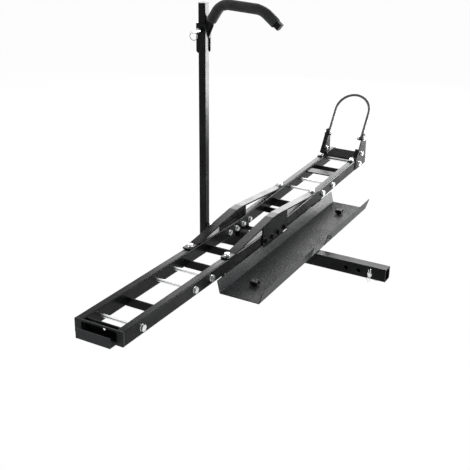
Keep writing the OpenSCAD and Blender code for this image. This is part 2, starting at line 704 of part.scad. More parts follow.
// Rib under the arm, welded to the slider's face
module arm_gusset() {
    foot = arm_start - [0, arm_w / 2 / cos(arm_a1)];
    tip = foot + rib_reach * [1, tan(arm_a1)];
    place() color(black) arm_plane() translate([0, 0, -gusset_w / 2]) linear_extrude(gusset_w)
        polygon([foot, [0, arm_z - rib_drop], tip + 5 * [sin(arm_a1), -cos(arm_a1)], tip]);
}
module arm_plug() {
    inside = arm_w - 2 * arm_wall;
    place() color(plastic) arm_plane() translate(arm_p5) rotate([0, 0, arm_a3]) rotate([90, 0, 90]) {
        linear_extrude(2.5) round_rect(arm_w, arm_w, arm_corner);
        translate([0, 0, -12]) linear_extrude(12) round_rect(inside, inside, 1);
    }
}
foam_clear = 0.3;
// Room between the post and the foam's first end
foam_room = 1;
foam_start = (foam_d / 2 * sin(arm_a1) + foam_room - (sleeve_out - post_w) / 2) / cos(arm_a1);
module foam_grip() {
    bore = (arm_w - 2 * arm_corner) * sqrt(2) + 2 * arm_corner + 2 * foam_clear;
    place() color(charcoal) arm_plane()
        bent_tube(arm_line(foam_start, foam_bare), round_ring(foam_d, 32), round_ring(bore, 32));
}

// Chock
base_len = 113;
ear_len = 50;
ear_h = 34;
base_u = chock_u - 14;
side_bolt_in = 55;
side_bolt_up = 17;
side_bolt_u = chock_u + side_bolt_in;
side_bolt_z = tube_h + side_bolt_up;
module chock_plate() {
    w = track_w - 0.4;
    place() on_half(far) color(black) difference() {
        union() {
            translate([base_u - 22, -w / 2, tube_h]) cube([base_len + 22, w, chock_t]);
            for (s = [-1, 1]) translate([chock_u + 32, s * (w / 2 - chock_t / 2) - chock_t / 2, tube_h])
                cube([ear_len, chock_t, ear_h]);
        }
        for (s = [-1, 1]) translate([chock_bolt_u, s * mid_y, 0]) cylinder(d = hole_d, h = 2 * tube_h);
        translate([side_bolt_u, -track_w, side_bolt_z]) y_rod(hole_d, 2 * track_w);
    }
}
module grip_mat() {
    place() on_half(far) color(plastic)
        translate([base_u + 2, -inner_y, tube_h + chock_t]) cube([base_len - 4, 2 * inner_y, 3]);
}
// Side plate of the chock. Its front edge is turned in, on the right plate only near the foot
module chock_bracket(side) {
    flange = 15;
    turned = side > 0 ? 0.97 : 0.4;
    front = [chock_u, tube_h + chock_t + 0.3];
    apex = [chock_u + chock_lean, tube_h + chock_h];
    d = apex - front;
    y = side > 0 ? side_y : -side_y - chock_t;
    color(black) difference() {
        union() {
            side_view(y, chock_t) polygon([front, [chock_u - 6, tube_h], [chock_u - 6, 4], [half_len - 8, 4],
                [half_len - 8, tube_h + 58], apex + [22, 0], apex]);
            side_view(side > 0 ? side_y - flange : -side_y, flange)
                translate(front) rotate(atan2(d[1], d[0])) translate([chock_t * d[0] / d[1], -chock_t])
                    square([norm(d) * turned - chock_t * d[0] / d[1], chock_t]);
        }
        translate([pivot_u, -track_w, pivot_z]) y_rod(hole_d, 2 * track_w);
        translate([side_bolt_u, -track_w, side_bolt_z]) y_rod(hole_d, 2 * track_w);
        translate([far_rods[2], -track_w, tube_h / 2]) y_rod(rod_hole_d, 2 * track_w);
    }
}
module left_chock_bracket() { place() on_half(far) chock_bracket(left); }
module right_chock_bracket() { place() on_half(far) chock_bracket(right); }
module both_sides(y) { for (s = [0, 1]) mirror([0, s, 0]) translate([0, -y, 0]) children(); }
module chock_bolts() {
    place() on_half(far) color(zinc) {
        for (s = [-1, 1]) translate([chock_bolt_u, s * mid_y, tube_h + chock_t])
            rotate([-90, 0, 0]) bolt_y(bolt_d, tube_h + chock_t, 13);
        translate([side_bolt_u, 0, side_bolt_z]) both_sides(side_y + chock_t) bolt_y(bolt_d, 2 * chock_t + 0.2, 12);
    }
}
module chock_nuts() {
    place() on_half(far) color(zinc) {
        for (s = [-1, 1]) translate([chock_bolt_u, s * mid_y, 0]) rotate([-90, 0, 0]) nut_y(bolt_d);
        translate([side_bolt_u, 0, side_bolt_z]) both_sides(side_y - chock_t - 0.2) nut_y(bolt_d);
    }
}
module hoop() {
    straight = hoop_len - hoop_d / 2 - hoop_y;
    place() on_half(far) color(black) translate([pivot_u, 0, pivot_z]) rotate([0, hoop_lean + tilt, 0]) {
        for (s = [-1, 1]) translate([0, s * hoop_y, 0]) difference() {
            union() {
                cylinder(d = hoop_d, h = straight);
                translate([0, -ear_w / 2, 0]) y_rod(2 * ear_r, ear_w);
            }
            translate([0, -ear_w, 0]) y_rod(bolt_d + 2 * run_clear, 2 * ear_w);
        }
        translate([0, 0, straight]) rotate([90, 0, 90]) rotate_extrude(angle = 180) translate([hoop_y, 0]) circle(d = hoop_d);
    }
}
module pivot_bolts() {
    place() on_half(far) color(zinc) translate([pivot_u, 0, pivot_z])
        both_sides(side_y + chock_t) bolt_y(bolt_d, chock_t + ear_w + 2 * hoop_gap, 12);
}
module pivot_nuts() {
    place() on_half(far) color(zinc) translate([pivot_u, 0, pivot_z])
        both_sides(side_y - ear_w - 2 * hoop_gap) nut_y(bolt_d);
}
module rail_plugs() {
    place() on_half(far) color(plastic) for (s = [-1, 1]) translate([half_len, s * mid_y, tube_h / 2]) {
        along_x(2.5) round_rect(tube_b, tube_h, tube_r);
        translate([-12, 0, 0]) along_x(12) round_rect(tube_b - 2 * tube_wall, tube_h - 2 * tube_wall, tube_r - tube_wall * 0.8);
    }
}

near_left_rail();
near_right_rail();
far_left_rail();
far_right_rail();
ramp_end_plate();
near_cross_plates();
far_cross_plates();
joint_tie();
cross_rods();
cross_nuts();
left_gusset();
right_gusset();
gusset_bolts();
gusset_nuts();
left_strap();
right_strap();
strap_bolts();
strap_nuts();
bar_risers();
hitch_bar();
post();
post_cap();
post_bolts();
post_nuts();
ramp();
ramp_arms();
tie_eye();
near_knob();
near_stud();
far_knob();
far_stud();
hitch_pin();
hitch_clip();
slider();
arm();
arm_gusset();
arm_plug();
foam_grip();
clamp_screw();
pull_ring();
chock_plate();
grip_mat();
left_chock_bracket();
right_chock_bracket();
chock_bolts();
chock_nuts();
hoop();
pivot_bolts();
pivot_nuts();
rail_plugs();
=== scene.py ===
"""Hitch motorcycle carrier: finishes, weld beads, threads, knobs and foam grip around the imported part."""
import logging
import math
from dataclasses import dataclass
from enum import Enum
from itertools import chain, product
from typing import Any, Iterable, Optional, Sequence, Union

import bmesh
import bpy
from mathutils import Matrix, Vector


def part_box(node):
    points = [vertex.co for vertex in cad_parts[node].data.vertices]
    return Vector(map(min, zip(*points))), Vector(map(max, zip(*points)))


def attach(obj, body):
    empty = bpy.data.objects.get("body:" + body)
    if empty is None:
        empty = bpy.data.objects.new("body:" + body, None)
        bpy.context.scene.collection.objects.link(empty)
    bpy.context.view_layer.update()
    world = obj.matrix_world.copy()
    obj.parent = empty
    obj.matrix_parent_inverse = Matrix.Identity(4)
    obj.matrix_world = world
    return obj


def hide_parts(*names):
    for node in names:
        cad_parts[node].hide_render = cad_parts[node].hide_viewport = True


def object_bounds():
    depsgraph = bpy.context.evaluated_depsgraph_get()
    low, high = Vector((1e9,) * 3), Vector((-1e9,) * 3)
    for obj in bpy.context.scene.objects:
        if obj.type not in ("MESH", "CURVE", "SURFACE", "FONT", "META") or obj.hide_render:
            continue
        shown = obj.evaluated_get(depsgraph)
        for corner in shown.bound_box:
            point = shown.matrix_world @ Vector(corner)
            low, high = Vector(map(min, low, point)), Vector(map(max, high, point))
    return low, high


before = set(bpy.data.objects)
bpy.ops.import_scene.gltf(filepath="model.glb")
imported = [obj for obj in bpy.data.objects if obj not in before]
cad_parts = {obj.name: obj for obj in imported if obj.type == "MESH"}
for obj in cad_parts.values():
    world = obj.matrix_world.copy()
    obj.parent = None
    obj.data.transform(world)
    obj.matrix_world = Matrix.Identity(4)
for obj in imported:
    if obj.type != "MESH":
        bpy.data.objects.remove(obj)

LOG = logging.getLogger("carrier")
MM = 0.001
CAD_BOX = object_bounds()
SIDES = (-1, 1)
ACROSS = Vector((0, 1, 0))


class Body(str, Enum):
    """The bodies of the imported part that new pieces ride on."""

    CARRIER = "carrier"
    SLIDER = "slider"
    NEAR_KNOB = "near_knob"
    FAR_KNOB = "far_knob"


class Finish(str, Enum):
    """The finishes, named as the record's material slots."""

    COAT = "black_powder_coat"
    ZINC = "zinc_steel"
    PLASTIC = "black_plastic"
    FOAM = "grip_foam"
    RUBBER = "mat_rubber"


class Half(int, Enum):
    """The two halves of the track: the near one ends at the ramp hook, the far one at the chock."""

    NEAR = -1
    FAR = 1


Value = Union["Socket", float]
Owner = Union[bpy.types.Material, bpy.types.World]
Run = tuple[Vector, Vector]
Pair = tuple[float, float]
Place = tuple[float, float, float]


class Socket:
    """One output of a shader node, with the operators that the finishes use."""

    def __init__(self, graph: "ShaderGraph", link: bpy.types.NodeSocket) -> None:
        """Wraps link, an output socket in graph."""
        self.graph = graph
        self.link = link

    def _math(self, operation: str, first: Value, second: Value) -> "Socket":
        """Adds one Math node on two values and returns its output."""
        return self.graph.node("ShaderNodeMath", {"operation": operation}, {0: first, 1: second})

    def __add__(self, other: Value) -> "Socket":
        """Returns self + other."""
        return self._math("ADD", self, other)

    def __sub__(self, other: Value) -> "Socket":
        """Returns self - other."""
        return self._math("SUBTRACT", self, other)

    def __rsub__(self, other: Value) -> "Socket":
        """Returns other - self."""
        return self._math("SUBTRACT", other, self)

    def __mul__(self, other: Value) -> "Socket":
        """Returns self * other."""
        return self._math("MULTIPLY", self, other)

    def highest(self, other: Value) -> "Socket":
        """Returns the larger of self and other."""
        return self._math("MAXIMUM", self, other)

    __radd__ = __add__
    __rmul__ = __mul__


class ShaderGraph:
    """The node tree of a material or a world, built by one call per node."""

    def __init__(self, owner: Owner) -> None:
        """Empties a node tree.

        Args:
            owner: The material or world that it belongs to.
        """
        owner.use_nodes = True
        self.owner = owner
        self.tree = owner.node_tree
        self.tree.nodes.clear()

    def node(self, kind: str, settings: Optional[dict[str, Any]] = None,
             inputs: Optional[dict[Any, Any]] = None, output: Any = 0) -> Socket:
        """Adds a node.

        Args:
            kind: The node's type.
            settings: Its properties, set first; "ramp" holds a colour ramp's stops.
            inputs: Values or Sockets for its inputs, by name or number.
            output: The name or number of the output wanted.

        Returns:
            That output, wrapped. An output node, which has none, gives its first input.
        """
        made = self.tree.nodes.new(kind)
        for key, value in (settings or {}).items():
            if key == "ramp":
                self._stops(made, value)
            else:
                setattr(made, key, value)
        for key, value in (inputs or {}).items():
            if isinstance(value, Socket):
                self.tree.links.new(value.link, made.inputs[key])
            else:
                made.inputs[key].default_value = value
        return Socket(self, made.outputs[output] if made.outputs else made.inputs[0])

    @staticmethod
    def _stops(made: bpy.types.Node, stops: Sequence[Pair]) -> None:
        """Sets a colour ramp to grey stops.

        Args:
            made: The ramp's node.
            stops: The stops, each a (position, level) pair.
        """
        ramp = made.color_ramp
        while len(ramp.elements) < len(stops):
            ramp.elements.new(1.0)
        for element, (position, level) in zip(ramp.elements, stops):
            element.position = position
            element.color = (level, level, level, 1)

    def place(self) -> Socket:
        """Returns the piece's own coordinates, in metres."""
        return self.node("ShaderNodeTexCoord", output="Object")

    def noise(self, size: float, detail: float = 3.0, roughness: float = 0.55) -> Socket:
        """Returns noise with features about size metres across."""
        inputs = {"Vector": self.place(), "Scale": 1 / size, "Detail": detail, "Roughness": roughness}
        return self.node("ShaderNodeTexNoise", None, inputs)

    def cells(self, size: float) -> Socket:
        """Returns the distance pattern of cells about size metres across."""
        inputs = {"Vector": self.place(), "Scale": 1 / size}
        return self.node("ShaderNodeTexVoronoi", None, inputs, "Distance")

    def ramp(self, value: Socket, stops: Sequence[Pair]) -> Socket:
        """Returns value passed through a grey ramp with those stops."""
        return self.node("ShaderNodeValToRGB", {"ramp": stops}, {0: value}, "Color")

    def mix(self, factor: Value, first: Any, second: Any) -> Socket:
        """Returns the colour between first and second at factor."""
        return self.node("ShaderNodeMix", {"data_type": "RGBA"}, {0: factor, 6: first, 7: second}, 2)

    def bump(self, height: Socket, distance: float, strength: float = 1.0,
             normal: Optional[Socket] = None) -> Socket:
        """Bumps a normal.

        Args:
            height: The pattern that raises the surface.
            distance: The height of its full step, in metres.
            strength: The share of it that counts.
            normal: A normal that is already bumped, if there is one.

        Returns:
            The bumped normal.
        """
        inputs = {"Height": height, "Distance": distance, "Strength": strength}
        if normal is not None:
            inputs["Normal"] = normal
        return self.node("ShaderNodeBump", None, inputs)

    def finish(self, inputs: dict[str, Any]) -> Owner:
        """Ends the tree in a Principled shader.

        Args:
            inputs: The values and Sockets of its inputs, by name.

        Returns:
            The finished material.
        """
        shader = self.node("ShaderNodeBsdfPrincipled", None, inputs)
        self.node("ShaderNodeOutputMaterial", None, {"Surface": shader})
        return self.owner


def grey(level: float, warm: float = 0.0) -> tuple[float, float, float, float]:
    """Returns a grey of that level, a little bluer where warm is negative and redder where it is positive."""
    return (level * (1 + warm), level, level * (1 - warm), 1.0)


@dataclass(frozen=True)
class PowderCoat:
    """Glossy black powder coat on steel, with its fine orange peel, dust and rubbed patches.

    speckle is the level of the pale dents of a hammered coat, 0 for none, and hammer is their depth.
    """

    name: str = "black_powder_coat"
    base: float = 0.006
    dust: float = 0.016
    tint: float = -0.04
    patch_size: float = 0.09
    patch_share: float = 0.7
    roughness: float = 0.24
    rubbed: float = 0.12
    peel: float = 0.0012
    peel_depth: float = 0.000012
    speckle: float = 0.0
    speckle_size: float = 0.009
    speckle_tint: float = -0.03
    speckle_share: float = 0.9
    speckle_rough: float = 0.2
    hammer: float = 0.0
    specular: float = 0.07

    def build(self) -> bpy.types.Material:
        """Makes the coat.

        Returns:
            Its material.
        """
        graph = ShaderGraph(bpy.data.materials.new(self.name))
        patches = graph.ramp(graph.noise(self.patch_size, 5.0, 0.6), ((0.42, 0.0), (0.72, 1.0)))
        colour = graph.mix(patches * self.patch_share, grey(self.base, self.tint), grey(self.dust, self.tint))
        roughness = patches * self.rubbed + self.roughness
        normal = graph.bump(graph.noise(self.peel, 2.0), self.peel_depth)
        if self.speckle:
            dents = graph.cells(self.speckle_size)
            dots = graph.ramp(dents, ((0.12, 1.0), (0.36, 0.0)))
            colour = graph.mix(dots * self.speckle_share, colour, grey(self.speckle, self.speckle_tint))
            roughness = roughness + dots * self.speckle_rough
            normal = graph.bump(dents, self.hammer, 1.0, normal)
        return graph.finish({"Base Color": colour, "Roughness": roughness, "Normal": normal,
                             "Specular IOR Level": self.specular})


@dataclass(frozen=True)
class ZincPlate:
    """Bright zinc plating with brushed streaks and a duller haze."""

    name: str = "zinc_steel"
    bright: float = 0.8
    dull: float = 0.52
    haze_size: float = 0.007
    haze_share: float = 0.6
    roughness: float = 0.24
    hazed: float = 0.2
    grain: float = 0.0008
    grain_depth: float = 0.00002

    def build(self) -> bpy.types.Material:
        """Makes the plating.

        Returns:
            Its material.
        """
        graph = ShaderGraph(bpy.data.materials.new(self.name))
        haze = graph.ramp(graph.noise(self.haze_size, 4.0), ((0.35, 0.0), (0.7, 1.0)))
        colour = graph.mix(haze * self.haze_share, grey(self.bright, -0.015), grey(self.dull, 0.01))
        return graph.finish({"Base Color": colour, "Metallic": 1.0,
                             "Roughness": haze * self.hazed + self.roughness,
                             "Normal": graph.bump(graph.noise(self.grain, 2.0), self.grain_depth)})


@dataclass(frozen=True)
class MouldedPlastic:
    """Black moulded plastic with a fine spark-eroded grain."""

    name: str = "black_plastic"
    base: float = 0.006
    scuff: float = 0.0144
    scuff_size: float = 0.012
    scuff_share: float = 0.5
    roughness: float = 0.45
    scuffed: float = 0.15
    specular: float = 0.2
    grain: float = 0.0006
    grain_depth: float = 0.00005

    def build(self) -> bpy.types.Material:
        """Makes the plastic.

        Returns:
            Its material.
        """
        graph = ShaderGraph(bpy.data.materials.new(self.name))
        scuffs = graph.ramp(graph.noise(self.scuff_size, 4.0), ((0.5, 0.0), (0.75, 1.0)))
        colour = graph.mix(scuffs * self.scuff_share, grey(self.base), grey(self.scuff))
        return graph.finish({"Base Color": colour, "Roughness": scuffs * self.scuffed + self.roughness,
                             "Specular IOR Level": self.specular,
                             "Normal": graph.bump(graph.noise(self.grain, 2.0), self.grain_depth)})


@dataclass(frozen=True)
class ClosedCellFoam:
    """Charcoal closed-cell foam with fine pores, soft wrinkles and a faint sheen."""

    name: str = "grip_foam"
    base: float = 0.014
    pale: float = 0.028
    tint: float = -0.02
    cloud_size: float = 0.03
    pore: float = 0.0011
    pore_depth: float = 0.00022
    roughness: float = 0.92
    smoothed: float = 0.1
    wrinkle: float = 0.016
    wrinkle_depth: float = 0.0006
    specular: float = 0.2
    sheen: float = 0.15
    sheen_roughness: float = 0.5

    def build(self) -> bpy.types.Material:
        """Makes the foam.

        Returns:
            Its material.
        """
        graph = ShaderGraph(bpy.data.materials.new(self.name))
        pores = graph.ramp(graph.cells(self.pore), ((0.0, 0.0), (0.5, 1.0)))
        cloud = graph.ramp(graph.noise(self.cloud_size, 4.0), ((0.3, 0.0), (0.75, 1.0)))
        colour = graph.mix(cloud, grey(self.base, self.tint), grey(self.pale, self.tint))
        rolled = graph.bump(graph.noise(self.wrinkle, 3.0), self.wrinkle_depth, 0.5)
        normal = graph.bump(pores, self.pore_depth, 0.8, rolled)
        return graph.finish({"Base Color": colour, "Roughness": self.roughness - cloud * self.smoothed,
                             "Normal": normal, "Specular IOR Level": self.specular,
                             "Sheen Weight": self.sheen, "Sheen Roughness": self.sheen_roughness})


@dataclass(frozen=True)
class RibbedRubber:
    """Black rubber with a moulded pebble grain and a dusting."""

    name: str = "mat_rubber"
    base: float = 0.004
    dust: float = 0.009
    dust_size: float = 0.02
    dust_share: float = 0.5
    roughness: float = 0.8
    dusted: float = 0.15
    pebble: float = 0.003
    pebble_depth: float = 0.0004
    specular: float = 0.02

    def build(self) -> bpy.types.Material:
        """Makes the rubber.

        Returns:
            Its material.
        """
        graph = ShaderGraph(bpy.data.materials.new(self.name))
        dust = graph.ramp(graph.noise(self.dust_size, 5.0), ((0.45, 0.0), (0.8, 1.0)))
        colour = graph.mix(dust * self.dust_share, grey(self.base), grey(self.dust, 0.02))
        return graph.finish({"Base Color": colour, "Roughness": self.roughness + dust * self.dusted,
                             "Specular IOR Level": self.specular,
                             "Normal": graph.bump(graph.cells(self.pebble), self.pebble_depth)})


class Paint:
    """Makes each finish once and puts it on pieces and CAD nodes."""

    ZINC_NODES = ("cross_rods", "cross_nuts", "gusset_nuts", "strap_bolts", "strap_nuts", "post_bolts",
                  "post_nuts", "near_stud", "far_stud", "hitch_pin", "hitch_clip", "clamp_screw", "pull_ring",
                  "chock_bolts", "chock_nuts", "pivot_bolts", "pivot_nuts")
    PLASTIC_NODES = ("post_cap", "near_knob", "far_knob", "arm_plug", "rail_plugs")

    def __init__(self) -> None:
        """Builds the materials."""
        self.made = {
            Finish.COAT: PowderCoat().build(),
            Finish.ZINC: ZincPlate().build(),
            Finish.PLASTIC: MouldedPlastic().build(),
            Finish.FOAM: ClosedCellFoam().build(),
            Finish.RUBBER: RibbedRubber().build(),
        }
        ramp = PowderCoat("ramp_coat_and_eye_painted_reflection", base=0.018, dust=0.034, roughness=0.42, speckle=0.085, hammer=0.0007,
                          specular=0.1).build()
        self.special = {
            "ramp": ramp,
            # The tie eye wears the paler speckled ramp coat as painted reflection: the lighter colour stands
            # in for the light that its plate reflects.
            "tie_eye": ramp,
            # The end plate's coat is the black powder coat made paler: painted light, standing in for the
            # light on its outer face.
            "ramp_end_plate": PowderCoat("end_coat_painted_light", base=0.035, dust=0.055, roughness=0.3).build(),
            "hitch_bar": PowderCoat("bar_coat", base=0.006, dust=0.02, roughness=0.3).build(),
            "hoop": PowderCoat("hoop_coat", base=0.035, dust=0.07, roughness=0.35, specular=0.4).build(),
            "pull_ring": ZincPlate("ring_steel", bright=0.3, dull=0.16, roughness=0.4).build(),
        }

    def finish_of(self, node: str) -> Finish:
        """Finds the finish of a CAD node.

        Args:
            node: The node's name.

        Returns:
            Its finish, the powder coat where it has no other.
        """
        if node in self.ZINC_NODES:
            return Finish.ZINC
        if node in self.PLASTIC_NODES:
            return Finish.PLASTIC
        return {"foam_grip": Finish.FOAM, "grip_mat": Finish.RUBBER}.get(node, Finish.COAT)

    def dress(self, piece: bpy.types.Object, finish: Finish) -> None:
        """Puts a finish on a new piece.

        Args:
            piece: The piece.
            finish: The finish, whose name is the slot's.
        """
        piece.data.materials.clear()
        piece.data.materials.append(self.made[finish])

    def dress_cad(self) -> None:
        """Puts its finish on every CAD node."""
        for name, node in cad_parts.items():
            material = self.special.get(name, self.made[self.finish_of(name)])
            if not node.material_slots:
                node.data.materials.append(material)
            for slot in node.material_slots:
                slot.material = material
        LOG.info("dressed %d CAD nodes", len(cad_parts))


@dataclass(frozen=True)
class Track:
    """Where the track lies: sizes in millimetres, places from the joint between its two halves."""

    joint: Place = (-45.0, 435.0, 58.0)
    half_len: float = 975.0
    end_rise: float = 30.0
    inner_y: float = 62.0
    side_y: float = 90.0
    tube_h: float = 50.0

    @property
    def tilt(self) -> float:
        """The slope of each half, in radians."""
        return math.asin(self.end_rise / self.half_len)

    def at(self, x: float, y: float, z: float) -> Vector:
        """Returns a place given from the joint, in the part's frame and metres."""
        return (Vector(self.joint) + Vector((x, y, z))) * MM

    def on(self, half: Half, along: float, y: float, z: float) -> Vector:
        """Finds a place on one half of the track.

        Args:
            half: Which half.
            along: The distance from the joint along its bottom.
            y: The distance across, from the middle of the track.
            z: The height over its bottom, square to it.

        Returns:
            The place in the part's frame, in metres.
        """
        slope = self.tilt
        x = along * math.cos(slope) - z * math.sin(slope)
        return self.at(half.value * x, y, along * math.sin(slope) + z * math.cos(slope))

    def axis(self, half: Half) -> Vector:
        """Returns the direction square to one half's bottom, pointing up."""
        slope = self.tilt
        return Vector((-half.value * math.sin(slope), 0, math.cos(slope)))


def facing(direction: Vector, centre: Vector) -> Matrix:
    """Returns the placement at centre whose Z runs along direction."""
    return Matrix.Translation(centre) @ direction.to_track_quat("Z", "Y").to_matrix().to_4x4()


class RingSweep:
    """A mesh grown ring by ring: each ring is extruded from the last and moved to its own placement."""

    def __init__(self, place: Matrix, radius: float, segments: int, capped: bool = True) -> None:
        """Starts with one ring.

        Args:
            place: The ring's placement, its Z along the sweep.
            radius: The ring's radius, in metres.
            segments: The number of its sides.
            capped: Whether a face closes it.
        """
        self.bm = bmesh.new()
        made = bmesh.ops.create_circle(self.bm, cap_ends=capped, radius=radius, segments=segments,
                                       matrix=place)
        self.ring = made["verts"]
        self.first = self._edges()
        self.place = place
        self.radius = radius

    def _edges(self) -> list[bmesh.types.BMEdge]:
        """Returns the edges of the newest ring."""
        ring = set(self.ring)
        return list({e for v in self.ring for e in v.link_edges if e.other_vert(v) in ring})

    def grow(self, place: Matrix, radius: float) -> list[bmesh.types.BMVert]:
        """Adds a ring.

        Args:
            place: The ring's placement.
            radius: The ring's radius, in metres.

        Returns:
            The ring's vertices.
        """
        made = bmesh.ops.extrude_edge_only(self.bm, edges=self._edges())
        self.ring = [g for g in made["geom"] if isinstance(g, bmesh.types.BMVert)]
        scale = radius / self.radius
        move = place @ Matrix.Diagonal((scale, scale, scale, 1)) @ self.place.inverted()
        bmesh.ops.transform(self.bm, matrix=move, verts=self.ring)
        self.place = place
        self.radius = radius
        return self.ring

    def cap(self) -> None:
        """Closes the newest ring with a face."""
        bmesh.ops.contextual_create(self.bm, geom=self._edges())

    def join_ends(self) -> None:
        """Joins the newest ring to the first one."""
        bmesh.ops.bridge_loops(self.bm, edges=self._edges() + self.first)


def to_piece(name: str, bm: bmesh.types.BMesh, smooth: bool = True) -> bpy.types.Object:
    """Turns a bmesh into a linked object at the origin, with its faces pointing outwards.

    Args:
        name: The object's name.
        bm: The bmesh, which is freed.
        smooth: Whether its faces are shaded smooth.

    Returns:
        The object.
    """
    bmesh.ops.recalc_face_normals(bm, faces=bm.faces[:])
    mesh = bpy.data.meshes.new(name)
    bm.to_mesh(mesh)
    bm.free()
    for polygon in mesh.polygons:
        polygon.use_smooth = smooth
    piece = bpy.data.objects.new(name, mesh)
    bpy.context.scene.collection.objects.link(piece)
    return piece


def merged(parts: Iterable[bmesh.types.BMesh]) -> bmesh.types.BMesh:
    """Joins meshes without welding them.

    Args:
        parts: The bmeshes, which are freed.

    Returns:
        One bmesh that holds them all.
    """
    whole = bmesh.new()
    for part in parts:
        mesh = bpy.data.meshes.new("part")
        part.to_mesh(mesh)
        part.free()
        whole.from_mesh(mesh)
        bpy.data.meshes.remove(mesh)
    return whole


@dataclass
class WeldBeads:
    """Rippled weld beads where the carrier's plates, arm and post are welded, in millimetres."""

    track: Track
    radius: float = 1.9
    thin: float = 1.4
    pitch: float = 2.6
    swell: float = 0.16
    root: float = 0.35
    taper: float = 0.45
    taper_rate: float = 3.0
    sides: int = 7
    near_plates: tuple[float, ...] = (247.0, 403.0, 753.0)
    far_plates: tuple[float, ...] = (218.0, 292.0)
    near_top: float = 28.0
    far_top: float = 22.0
    face: float = 3.1
    foot: float = 2.0
    sunk: float = 0.6
    strip: Pair = (634.0, 674.0)
    strip_top: float = 42.6
    strip_sunk: float = 0.8
    riser: Pair = (21.0, 69.0)
    riser_foot: float = -32.4
    riser_heads: tuple[Pair, Pair] = ((12.0, 0.2), (78.0, 1.8))
    post_width: Pair = (27.0, 63.0)
    post_top: Pair = (235.4, -26.4)
    post_sides: Pair = (29.4, 60.6)
    post_face: float = 236.2
    post_rise: Pair = (-80.0, -36.0)
    foot_sides: Pair = (24.6, 65.4)
    foot_run: Pair = (152.0, 232.0)
    foot_top: float = -32.6
    hook_half: float = 60.0
    hook_line: Pair = (975.8, 1.6)
    hook_edge: float = 969.4
    hook_rise: Pair = (5.0, 45.0)
    hook_sunk: float = 0.5
    arm_face: float = 230.4
    arm_sides: Pair = (32.2, 57.8)
    arm_rise: Pair = (757.0, 785.0)
    rib_sides: Pair = (42.2, 47.8)
    rib_rise: Pair = (731.0, 754.0)

    def bead(self, start: Vector, end: Vector, radius: Optional[float] = None) -> bmesh.types.BMesh:
        """Makes one bead that swells at each step of the weld and tapers at its ends.

        Args:
            start: Where it starts, in metres.
            end: Where it ends, in metres.
            radius: Its radius in millimetres, if it isn't the usual one.

        Returns:
            The bead's mesh.
        """
        size = (radius or self.radius) * MM
        run = end - start
        steps = max(4, round(run.length / (self.pitch * MM / 2)))
        turn = facing(run, Vector()).to_3x3().to_4x4()
        sweep = RingSweep(Matrix.Translation(start) @ turn, size * self.root, self.sides)
        for i in range(steps + 1):
            share = i / steps
            ripple = 1 + self.swell * (1 if i % 2 else -1)
            taper = min(1.0, self.taper + self.taper_rate * min(share, 1 - share))
            sweep.grow(Matrix.Translation(start + run * share) @ turn, size * ripple * taper)
        sweep.cap()
        return sweep.bm

    def plate_runs(self) -> Iterable[Run]:
        """Finds the runs up both faces of every cross plate, at both rails.

        Returns:
            The runs.
        """
        stations = [(Half.NEAR, u, self.near_top) for u in self.near_plates]
        stations += [(Half.FAR, u, self.far_top) for u in self.far_plates]
        for half, along, top in stations:
            for side, face in product(SIDES, SIDES):
                x = along + face * self.face
                y = side * (self.track.inner_y - self.sunk)
                yield self.track.on(half, x, y, self.foot), self.track.on(half, x, y, top)

    def strip_runs(self) -> Iterable[Run]:
        """Finds the runs along the far half's flat strip, on top, at both rails.

        Returns:
            The runs.
        """
        for side in SIDES:
            y = side * (self.track.inner_y - self.strip_sunk)
            yield tuple(self.track.on(Half.FAR, x, y, self.strip_top) for x in self.strip)

    def riser_runs(self) -> Iterable[Run]:
        """Finds the runs between the risers and the bar, and between the risers and the rails.

        Returns:
            The runs.
        """
        at = self.track.at
        for side in SIDES:
            for y in (side * self.track.inner_y, side * self.track.side_y):
                yield tuple(at(x, y, self.riser_foot) for x in self.riser)
            y = side * (self.track.inner_y - self.sunk)
            yield tuple(at(x, y, z) for x, z in self.riser_heads)

    def post_runs(self) -> Iterable[Run]:
        """Finds the runs where the post meets the bar and its foot plate.

        Returns:
            The runs.
        """
        at = self.track.at
        yield tuple(at(x, *self.post_top) for x in self.post_width)
        for x in self.post_sides:
            yield tuple(at(x, self.post_face, z) for z in self.post_rise)
        for x in self.foot_sides:
            yield tuple(at(x, y, self.foot_top) for y in self.foot_run)

    def hook_runs(self) -> Iterable[Run]:
        """Finds the runs under the ramp hook and up the end plate's edges.

        Returns:
            The runs.
        """
        on = self.track.on
        along, height = self.hook_line
        yield tuple(on(Half.NEAR, along, side * self.hook_half, height) for side in SIDES)
        for side in SIDES:
            y = side * (self.track.inner_y - self.hook_sunk)
            yield tuple(on(Half.NEAR, self.hook_edge, y, z) for z in self.hook_rise)

    def arm_beads(self) -> list[bmesh.types.BMesh]:
        """Makes the beads where the arm and its rib meet the slider's face.

        Returns:
            The beads' meshes.
        """
        at = self.track.at
        y = self.arm_face
        arm = [self.bead(*(at(x, y, z) for z in self.arm_rise)) for x in self.arm_sides]
        rib = [self.bead(*(at(x, y, z) for z in self.rib_rise), self.thin) for x in self.rib_sides]
        return arm + rib

    def build(self, paint: Paint) -> None:
        """Makes the beads, rides them and dresses them.

        Args:
            paint: The finishes.
        """
        runs = chain(self.plate_runs(), self.strip_runs(), self.riser_runs(), self.post_runs(),
                     self.hook_runs())
        still = merged(self.bead(*run) for run in runs)
        arm = merged(self.arm_beads())
        for name, bm, body in (("carrier_welds", still, Body.CARRIER), ("arm_welds", arm, Body.SLIDER)):
            piece = to_piece(name, bm)
            paint.dress(piece, Finish.COAT)
            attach(piece, body.value)
            LOG.info("built %s", name)


